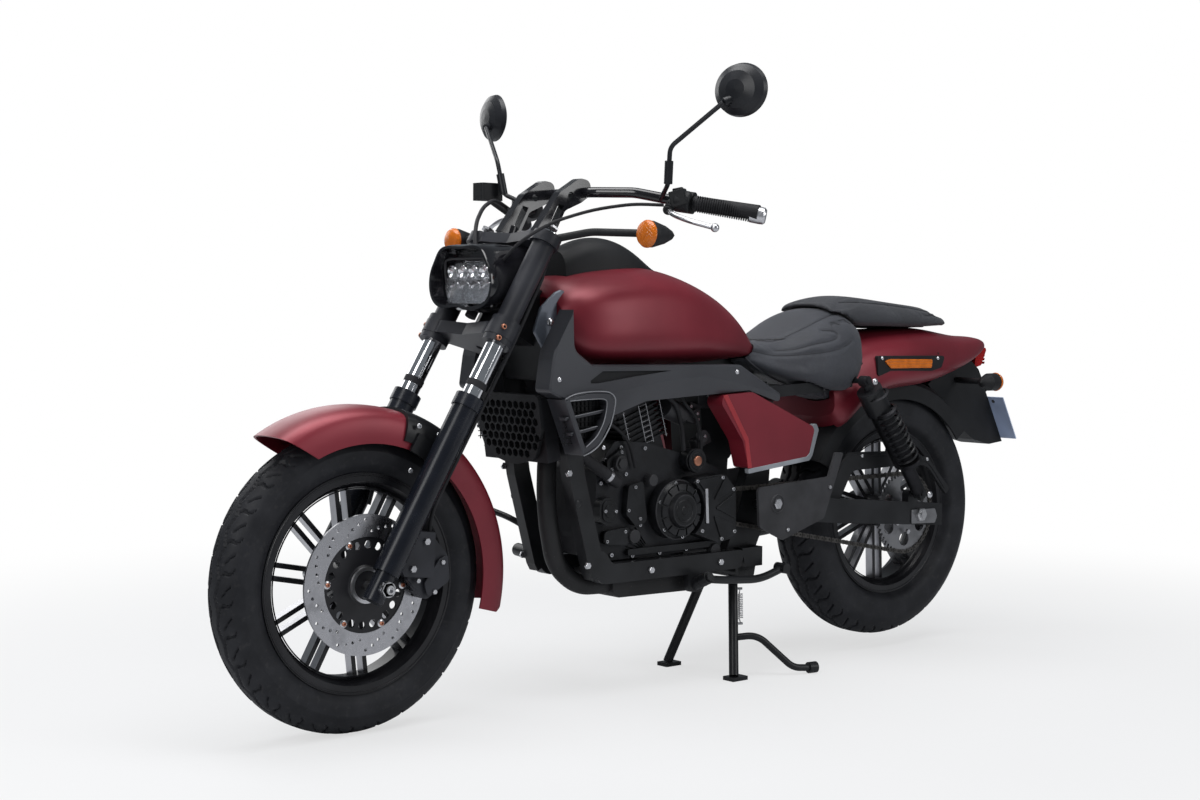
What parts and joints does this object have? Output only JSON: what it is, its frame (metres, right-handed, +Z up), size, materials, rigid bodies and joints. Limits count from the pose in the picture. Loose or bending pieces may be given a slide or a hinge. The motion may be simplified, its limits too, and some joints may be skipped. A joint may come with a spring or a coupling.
{
  "type": "cruiser motorcycle",
  "caption": "Low cruiser motorcycle with raked fork, wide tank, stepped saddle, open engine in a cradle frame, chain drive, steering, rolling wheels, centre stand and folded side stand.",
  "frame": {"origin": "on the floor, midway along and across the bounding box, on the bike's centre plane", "axes": "+X towards the front wheel, +Y towards the rider's left, +Z up"},
  "size_m": [2.3163, 0.9494, 1.3459],
  "materials": {
    "black_frame": "satin black",
    "engine_black": "satin black casting",
    "yoke_black": "matte dark grey",
    "slider_black": "satin blue-black",
    "wheel_black": "satin black, polished spoke edges",
    "shock_black": "satin black",
    "exhaust_black": "matte heat-proof black",
    "red_paint": "matte dark red",
    "grey_paint": "satin gunmetal grey",
    "plate_paint": "satin blue-grey",
    "gloss_black": "gloss black",
    "gloss_black_bar": "gloss black",
    "black_plastic": "matte black",
    "rider_leather": "blue-grey vinyl",
    "pillion_leather": "black vinyl",
    "grip_rubber": "matte black",
    "tyre": "matte black",
    "steel": "zinc plated",
    "chain_steel": "dark oiled steel",
    "sprocket_steel": "grey steel",
    "disc_steel": "ground steel",
    "chrome": "hard chrome",
    "lever_alloy": "cast alloy",
    "radiator_alloy": "black alloy",
    "plate_blank": "pale blue-grey, blank",
    "red_lens": "red lens",
    "amber_lens": "amber lens",
    "lamp_glass": "clear lamp glass"
  },
  "bodies": {
    "chassis": {"frame_spine": "black_frame", "cradle_rails": "black_frame", "rear_subframe": "black_frame", "swingarm": "black_frame", "rear_axle": "steel", "crankcase": "engine_black", "cylinder": "engine_black", "engine_covers": "engine_black", "airbox": "black_plastic", "drive_chain": "chain_steel", "chain_guard": "black_plastic", "rear_shocks": "shock_black", "rear_mudguard": "black_plastic", "fuel_tank": "red_paint", "tank_console": "black_plastic", "rider_seat": "rider_leather", "pillion_seat": "pillion_leather", "tail_fairing": "red_paint", "shrouds": "grey_paint", "head_plates": "plate_paint", "side_covers": "red_paint", "pivot_covers": "black_plastic", "radiator": "radiator_alloy", "radiator_guard": "black_plastic", "exhaust_pipe": "exhaust_black", "exhaust_chamber": "exhaust_black", "silencer": "exhaust_black", "plate_bracket": "black_plastic", "number_plate": "plate_blank", "tail_lamp": "red_lens", "rear_signals": "black_plastic", "footrests": "black_frame"},
    "steering": {"fork_yokes": "yoke_black", "fork_tubes": "chrome", "fork_sliders": "slider_black", "fork_covers": "yoke_black", "front_axle": "steel", "front_fender": "red_paint", "fender_stay": "black_frame", "brake_caliper": "yoke_black", "headlight_hood": "gloss_black", "headlight_lens": "lamp_glass", "headlight_bracket": "black_frame", "risers": "yoke_black", "handlebar": "gloss_black_bar", "grips": "grip_rubber", "switchgear": "black_plastic", "levers": "lever_alloy", "brake_reservoir": "black_plastic", "mirrors": "gloss_black", "front_signals": "amber_lens", "control_cables": "grip_rubber"},
    "front_wheel": {"front_rim": "wheel_black", "front_tyre": "tyre", "front_disc": "disc_steel"},
    "rear_wheel": {"rear_rim": "wheel_black", "rear_tyre": "tyre", "rear_sprocket": "sprocket_steel"},
    "centre_stand": {"centre_stand": "black_frame"},
    "side_stand": {"side_stand": "black_frame"}
  },
  "joints": [
    {"name": "steer", "type": "hinge", "parent": "chassis", "child": "steering", "pos_m": [0.48594, 0, 0.83856], "axis": [-0.515, 0, 0.8572], "range_deg": [-32, 32]},
    {"name": "front_wheel_spin", "type": "hinge", "parent": "steering", "child": "front_wheel", "pos_m": [0.855, 0, 0.302], "axis": [0, 1, 0], "continuous": true},
    {"name": "rear_wheel_spin", "type": "hinge", "parent": "chassis", "child": "rear_wheel", "pos_m": [-0.705, 0, 0.343], "axis": [0, 1, 0], "continuous": true},
    {"name": "centre_stand_fold", "type": "hinge", "parent": "chassis", "child": "centre_stand", "pos_m": [-0.17, 0, 0.238], "axis": [0, 1, 0], "range_deg": [0, 75]},
    {"name": "side_stand_swing", "type": "hinge", "parent": "chassis", "child": "side_stand", "pos_m": [0.007, 0.14, 0.246], "axis": [0, -0.9102, -0.4141], "range_deg": [0, 104]}
  ]
}
